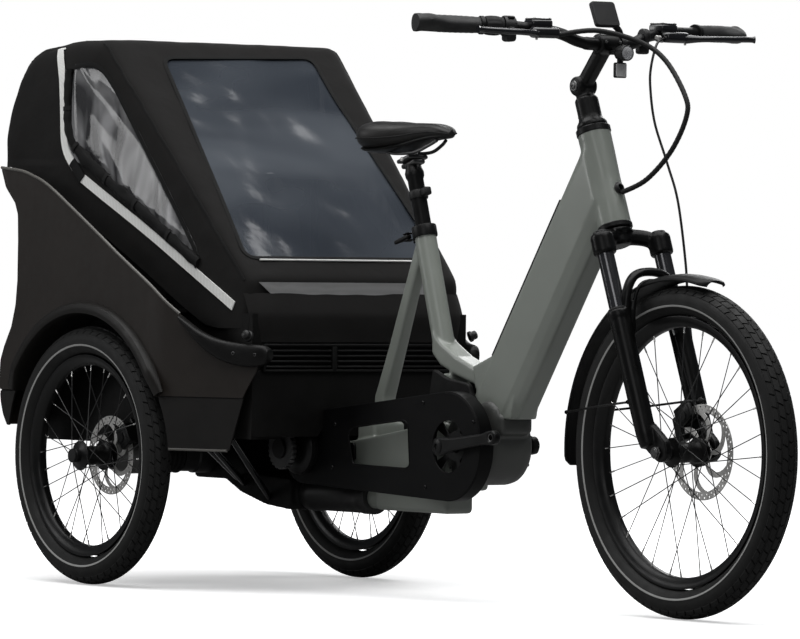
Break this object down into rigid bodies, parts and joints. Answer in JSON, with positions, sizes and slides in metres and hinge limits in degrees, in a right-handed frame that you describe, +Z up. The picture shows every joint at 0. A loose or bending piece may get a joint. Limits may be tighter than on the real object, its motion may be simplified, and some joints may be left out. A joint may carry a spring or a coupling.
{
  "type": "three-wheeled cargo bicycle",
  "caption": "Electric cargo tricycle with a leaning front frame, suspension fork, belt drive, and a rear cabin with a shell, child bench, fabric canopy and clear film windows.",
  "frame": {"origin": "centre of the overall box, on the ground", "axes": "+X forward, +Y to the rider's left, +Z up"},
  "size_m": [2.1427, 0.7806, 1.1531],
  "materials": {
    "frame_paint": "satin grey-green paint",
    "axle_metal": "satin dark grey paint",
    "shell_plastic": "grained black",
    "guard_plastic": "matt black",
    "frame_rod": "satin",
    "canopy_fabric": "matt black coated fabric",
    "window_film": "clear flexible film",
    "cushion_fabric": "matt woven",
    "tail_lens": "gloss red",
    "caliper_metal": "satin black",
    "tyre": "matt",
    "rim_metal": "satin black",
    "spoke_metal": "satin black",
    "hub_metal": "satin black",
    "rotor_steel": "brushed",
    "motor_casing": "satin dark grey",
    "belt": "matt",
    "collar_metal": "satin black",
    "pulley_metal": "satin black",
    "crank_metal": "satin black",
    "post_metal": "satin black",
    "saddle_cover": "matt black",
    "cockpit_metal": "satin black",
    "grip_rubber": "matt",
    "display_plastic": "gloss black screen",
    "lamp_housing": "matt black with a clear lens",
    "fork_metal": "gloss black",
    "fender_plastic": "satin black",
    "hose_rubber": "matt"
  },
  "bodies": {
    "chassis": {"axle_housing": "axle_metal", "tilt_beam": "axle_metal", "cabin_tub": "shell_plastic", "side_panel_right": "shell_plastic", "side_panel_left": "shell_plastic", "rear_panel": "shell_plastic", "corner_guards": "guard_plastic", "vent_grille": "guard_plastic", "canopy_frame": "frame_rod", "canopy_fabric": "canopy_fabric", "windows": "window_film", "seat_cushions": "cushion_fabric", "tail_lights": "tail_lens", "rear_calipers": "caliper_metal"},
    "rear_wheel_right": {"rear_tyre_right": "tyre", "rear_rim_right": "rim_metal", "rear_spokes_right": "spoke_metal", "rear_hub_right": "hub_metal", "rear_rotor_right": "rotor_steel"},
    "rear_wheel_left": {"rear_tyre_left": "tyre", "rear_rim_left": "rim_metal", "rear_spokes_left": "spoke_metal", "rear_hub_left": "hub_metal", "rear_rotor_left": "rotor_steel"},
    "front_frame": {"head_tube": "frame_paint", "down_tube": "frame_paint", "seat_tube": "frame_paint", "seat_stays": "frame_paint", "chainstays": "frame_paint", "drive_motor": "motor_casing", "motor_cover": "guard_plastic", "belt_guard": "guard_plastic", "drive_belt": "belt", "gear_hub": "hub_metal", "seat_collar": "collar_metal"},
    "seat_lever": {"seat_lever": "collar_metal"},
    "crank": {"front_pulley": "pulley_metal", "crank_arms": "crank_metal"},
    "hub_pulley": {"rear_pulley": "pulley_metal"},
    "seatpost": {"seatpost": "post_metal", "saddle": "saddle_cover"},
    "steering": {"stem": "cockpit_metal", "handlebar": "cockpit_metal", "grips": "grip_rubber", "lever_mounts": "cockpit_metal", "display": "display_plastic", "headlight": "lamp_housing", "fork_crown": "fork_metal", "control_hoses": "hose_rubber", "front_brake_hose": "hose_rubber"},
    "brake_lever_right": {"brake_lever_right": "cockpit_metal"},
    "brake_lever_left": {"brake_lever_left": "cockpit_metal"},
    "shifter": {"twist_shifter": "grip_rubber"},
    "fork": {"fork_lowers": "fork_metal", "front_fender": "fender_plastic"},
    "front_wheel": {"front_tyre": "tyre", "front_rim": "rim_metal", "front_spokes": "spoke_metal", "front_hub": "hub_metal", "front_rotor": "rotor_steel"}
  },
  "joints": [
    {"name": "rear_right_spin", "type": "hinge", "parent": "chassis", "child": "rear_wheel_right", "pos_m": [-0.731, -0.334, 0.26], "axis": [0, 1, 0], "continuous": true},
    {"name": "rear_left_spin", "type": "hinge", "parent": "chassis", "child": "rear_wheel_left", "pos_m": [-0.731, 0.334, 0.26], "axis": [0, 1, 0], "continuous": true},
    {"name": "lean", "type": "hinge", "parent": "chassis", "child": "front_frame", "pos_m": [-0.331, 0, 0.19], "axis": [1, 0, 0], "range_deg": [-20, 20], "stiffness_Nm_per_rad": 600},
    {"name": "seat_lever", "type": "hinge", "parent": "front_frame", "child": "seat_lever", "pos_m": [-0.09788, -0.016, 0.69603], "axis": [-0.2974, 0, 0.9548], "range_deg": [0, 130]},
    {"name": "crank_spin", "type": "hinge", "parent": "front_frame", "child": "crank", "pos_m": [0.141, 0, 0.303], "axis": [0, 1, 0], "continuous": true},
    {"name": "hub_pulley_spin", "type": "hinge", "parent": "front_frame", "child": "hub_pulley", "pos_m": [-0.336, -0.072, 0.285], "axis": [0, 1, 0], "continuous": true},
    {"name": "seatpost_slide", "type": "slide", "parent": "front_frame", "child": "seatpost", "axis": [-0.2974, 0, 0.9548], "range_m": [-0.05, 0.08]},
    {"name": "steering", "type": "hinge", "parent": "front_frame", "child": "steering", "pos_m": [0.537, 0, 0.722], "axis": [-0.3584, 0, 0.9336], "range_deg": [-60, 60], "deforming": ["control_hoses"]},
    {"name": "fork_travel", "type": "slide", "parent": "steering", "child": "fork", "axis": [-0.3584, 0, 0.9336], "range_m": [0, 0.05], "stiffness_N_per_m": 12000, "springref_m": -0.025, "deforming": ["front_brake_hose"]},
    {"name": "front_wheel_spin", "type": "hinge", "parent": "fork", "child": "front_wheel", "pos_m": [0.751, 0, 0.31], "axis": [0, 1, 0], "continuous": true},
    {"name": "brake_lever_right", "type": "hinge", "parent": "steering", "child": "brake_lever_right", "pos_m": [0.51704, -0.178, 1.08639], "axis": [0, 0, -1], "range_deg": [0, 15], "stiffness_Nm_per_rad": 1, "springref_deg": -11.46},
    {"name": "brake_lever_left", "type": "hinge", "parent": "steering", "child": "brake_lever_left", "pos_m": [0.51704, 0.178, 1.08639], "axis": [0, 0, 1], "range_deg": [0, 15], "stiffness_Nm_per_rad": 1, "springref_deg": -11.46},
    {"name": "shifter_twist", "type": "hinge", "parent": "steering", "child": "shifter", "pos_m": [0.45615, -0.23876, 1.10115], "axis": [-0.274, -0.9616, 0.0149], "range_deg": [-40, 40]}
  ],
  "couplings": [
    {"joint": "hub_pulley_spin", "follows": "crank_spin", "ratio": 2.0714}
  ]
}
